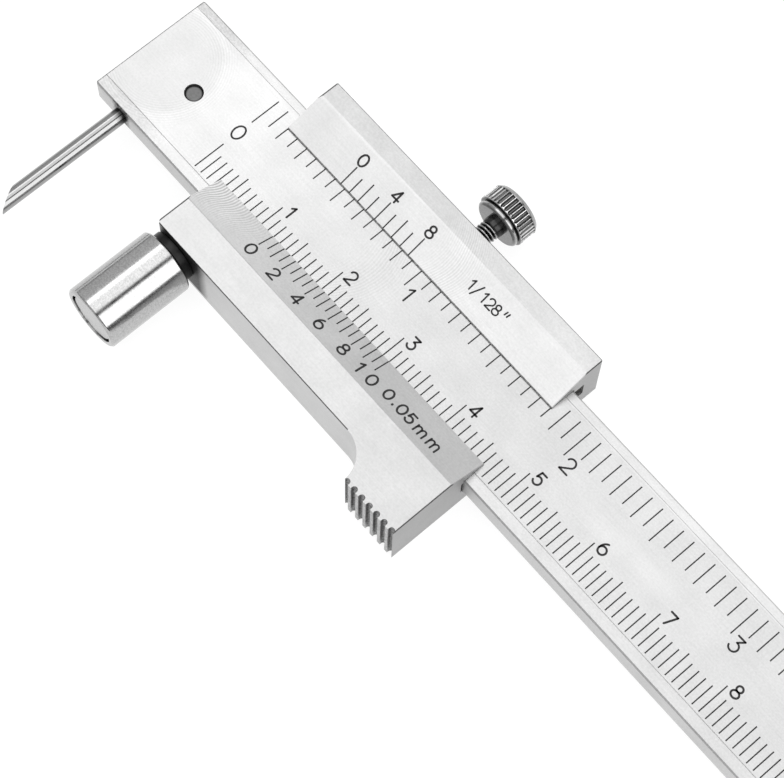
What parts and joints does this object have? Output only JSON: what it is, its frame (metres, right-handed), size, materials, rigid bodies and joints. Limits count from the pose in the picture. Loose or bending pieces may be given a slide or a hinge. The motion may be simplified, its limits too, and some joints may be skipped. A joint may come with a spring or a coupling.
{
  "type": "marking gauge",
  "caption": "Steel marking gauge: graduated bar with a scriber near its end and a vernier slider carrying a guide roller, thumb pad and knurled lock screw.",
  "frame": {"origin": "on the beam's back face, at mid-width, under the zero line of the beam's scales", "axes": "+X along the beam from the zero line towards the tail, +Y across the beam towards the lock screw, +Z from the back face to the graduated face"},
  "size_m": [0.255, 0.0437, 0.0082],
  "materials": {
    "beam_steel": "fine satin",
    "slider_steel": "fine satin",
    "roller_steel": "polished",
    "carbide": "ground and polished",
    "bright_steel": "bright plated",
    "dark_steel": "oiled",
    "bronze": "machined"
  },
  "bodies": {
    "beam": {"beam": "beam_steel", "scriber": "carbide", "scriber_grub_screw": "dark_steel", "head_pin": "dark_steel", "stop_screw": "bright_steel"},
    "slider": {"slider_body": "slider_steel", "gib_set_screws": "dark_steel", "roller_axle": "bright_steel", "roller_spacer": "dark_steel"},
    "roller": {"roller_sleeve": "roller_steel", "roller_bushes": "bronze"},
    "gib": {"gib": "bronze"},
    "lock_screw": {"lock_stud": "dark_steel", "lock_knob": "bright_steel"}
  },
  "joints": [
    {"name": "slider_slide", "type": "slide", "parent": "beam", "child": "slider", "axis": [1, 0, 0], "range_m": [-0.0119, 0.1886]},
    {"name": "roller_spin", "type": "hinge", "parent": "slider", "child": "roller", "pos_m": [0.006, -0.02, 0.00175], "axis": [0, 1, 0], "continuous": true},
    {"name": "gib_clamp", "type": "slide", "parent": "slider", "child": "gib", "axis": [0, -1, 0], "range_m": [-0.000175, 0.0001875]},
    {"name": "lock_turn", "type": "hinge", "parent": "gib", "child": "lock_screw", "pos_m": [0.02605, 0.015, 0.00175], "axis": [0, -1, 0], "range_deg": [-140, 150]}
  ],
  "couplings": [
    {"joint": "lock_turn", "follows": "gib_clamp", "rad_per_m": 13963}
  ]
}
